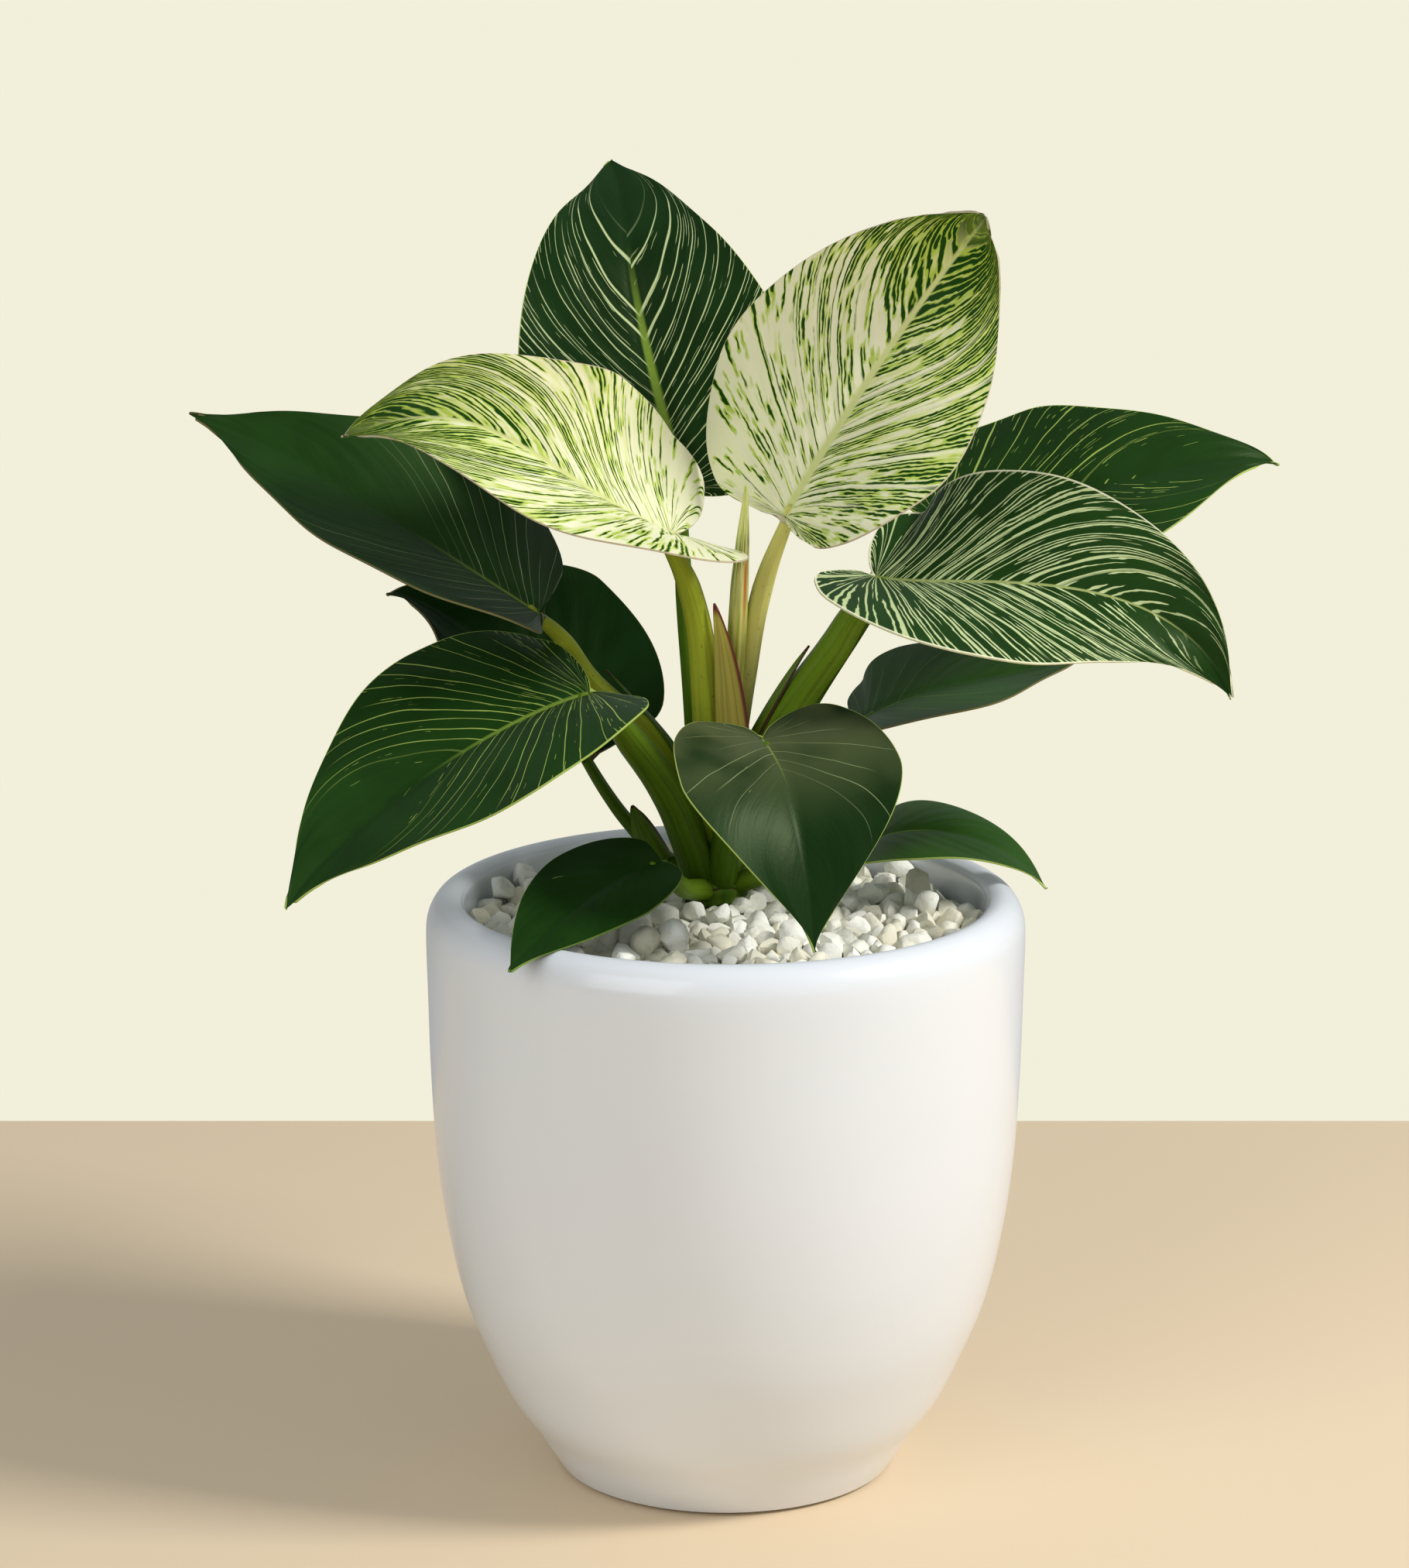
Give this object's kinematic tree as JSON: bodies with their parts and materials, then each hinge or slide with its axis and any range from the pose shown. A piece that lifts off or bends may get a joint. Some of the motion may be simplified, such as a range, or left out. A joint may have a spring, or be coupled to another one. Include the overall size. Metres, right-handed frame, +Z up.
{
  "type": "potted philodendron birkin",
  "caption": "Leafy houseplant with striped heart-shaped blades on petioles, standing in a round glazed white pot topped with stone chips.",
  "frame": {"origin": "centre of the pot's foot, on the surface the pot stands on", "axes": "+Z up along the pot's axis, +X to the right in the picture, the side in the picture faces -Y"},
  "size_m": [0.312, 0.17, 0.369],
  "materials": {
    "pot_glaze": "glossy white glaze",
    "soil": "dark crumbly potting soil",
    "chips": "matt off-white angular chips",
    "stem": "smooth green stem",
    "young_leaf": "smooth rolled leaf",
    "blade_dark": "satin dark green leaf with thin pale veins",
    "blade_striped": "satin green leaf with cream stripes",
    "blade_cream": "satin cream leaf with green dashes",
    "petiole": "smooth yellow-green petiole",
    "petiole_dark": "smooth green petiole",
    "sheath": "thin drying sheath with a red-brown edge"
  },
  "bodies": {
    "root": {"pot": "pot_glaze", "soil": "soil", "gravel": "chips", "stem": "stem", "spear_leaf": "young_leaf", "blade_a": "blade_dark", "blade_b": "blade_cream", "blade_c": "blade_striped", "blade_d": "blade_cream", "blade_e": "blade_dark", "blade_f": "blade_dark", "blade_g": "blade_dark", "blade_h": "blade_dark", "blade_i": "blade_striped", "blade_j": "blade_striped", "blade_k": "blade_dark", "blade_l": "blade_dark", "petiole_a": "petiole", "petiole_b": "petiole", "petiole_c": "petiole_dark", "petiole_d": "petiole", "petiole_e": "petiole_dark", "petiole_f": "petiole_dark", "petiole_g": "petiole_dark", "petiole_h": "petiole_dark", "petiole_i": "petiole_dark", "petiole_j": "petiole_dark", "petiole_k": "petiole_dark", "petiole_l": "petiole_dark", "sheath_a": "sheath", "sheath_b": "sheath", "sheath_i": "sheath", "sheath_l": "sheath"}
  },
  "joints": []
}
